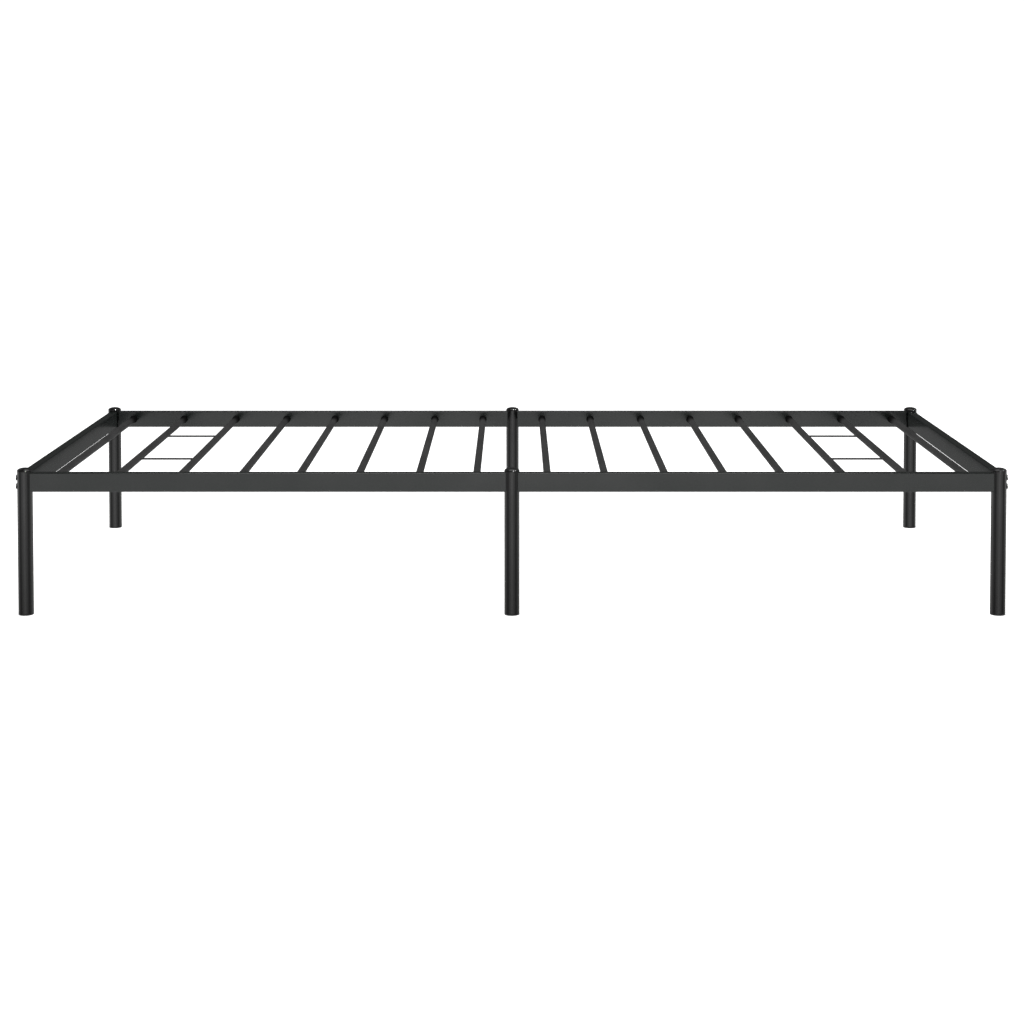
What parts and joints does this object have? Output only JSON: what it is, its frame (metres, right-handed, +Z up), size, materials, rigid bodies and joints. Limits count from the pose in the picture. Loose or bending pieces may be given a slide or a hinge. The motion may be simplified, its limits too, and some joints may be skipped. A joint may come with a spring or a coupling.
{
  "type": "metal bed frame",
  "caption": "Low single bed frame of black powder-coated steel tube: round legs with domed caps, rectangular side and end rails, and round tube slats between them.",
  "frame": {"origin": "on the floor under the middle of the bed", "axes": "+X along the bed to its right end, seen from the front side at -Y; +Z up"},
  "size_m": [2.0768, 0.972, 0.31],
  "materials": {
    "leg_coat": "fine-textured black powder coat, satin",
    "rail_coat": "fine-textured black powder coat, satin",
    "slat_coat": "fine-textured black powder coat, satin",
    "rod_coat": "black powder coat, satin",
    "cap_plastic": "satin moulded black",
    "foot_plastic": "moulded black",
    "bolt_steel": "black zinc",
    "plate_steel": "zinc plated"
  },
  "bodies": {
    "root": {"corner_bolt_back_left_lower": "bolt_steel", "corner_bolt_back_left_upper": "bolt_steel", "corner_bolt_back_right_lower": "bolt_steel", "corner_bolt_back_right_upper": "bolt_steel", "corner_bolt_front_left_lower": "bolt_steel", "corner_bolt_front_left_upper": "bolt_steel", "corner_bolt_front_right_lower": "bolt_steel", "corner_bolt_front_right_upper": "bolt_steel", "corner_leg_back_left": "leg_coat", "corner_leg_back_right": "leg_coat", "corner_leg_front_left": "leg_coat", "corner_leg_front_right": "leg_coat", "cross_rod_back_left": "rod_coat", "cross_rod_back_right": "rod_coat", "cross_rod_front_left": "rod_coat", "cross_rod_front_right": "rod_coat", "end_rail_left": "rail_coat", "end_rail_right": "rail_coat", "foot_plug_back_left": "foot_plastic", "foot_plug_back_mid": "foot_plastic", "foot_plug_back_right": "foot_plastic", "foot_plug_front_left": "foot_plastic", "foot_plug_front_mid": "foot_plastic", "foot_plug_front_right": "foot_plastic", "leg_cap_back_left": "cap_plastic", "leg_cap_back_mid": "cap_plastic", "leg_cap_back_right": "cap_plastic", "leg_cap_front_left": "cap_plastic", "leg_cap_front_mid": "cap_plastic", "leg_cap_front_right": "cap_plastic", "mid_leg_back": "leg_coat", "mid_leg_front": "leg_coat", "nut_plate_back_left": "plate_steel", "nut_plate_back_right": "plate_steel", "nut_plate_front_left": "plate_steel", "nut_plate_front_right": "plate_steel", "set_screw_back_left": "bolt_steel", "set_screw_back_right": "bolt_steel", "set_screw_front_left": "bolt_steel", "set_screw_front_right": "bolt_steel", "side_rail_back_left": "rail_coat", "side_rail_back_right": "rail_coat", "side_rail_front_left": "rail_coat", "side_rail_front_right": "rail_coat", "slat_01": "slat_coat", "slat_02": "slat_coat", "slat_03": "slat_coat", "slat_04": "slat_coat", "slat_05": "slat_coat", "slat_06": "slat_coat", "slat_07": "slat_coat", "slat_08": "slat_coat", "slat_09": "slat_coat", "slat_10": "slat_coat", "slat_11": "slat_coat", "slat_12": "slat_coat", "slat_13": "slat_coat", "slat_14": "slat_coat", "slat_15": "slat_coat", "slat_16": "slat_coat"}
  },
  "joints": []
}
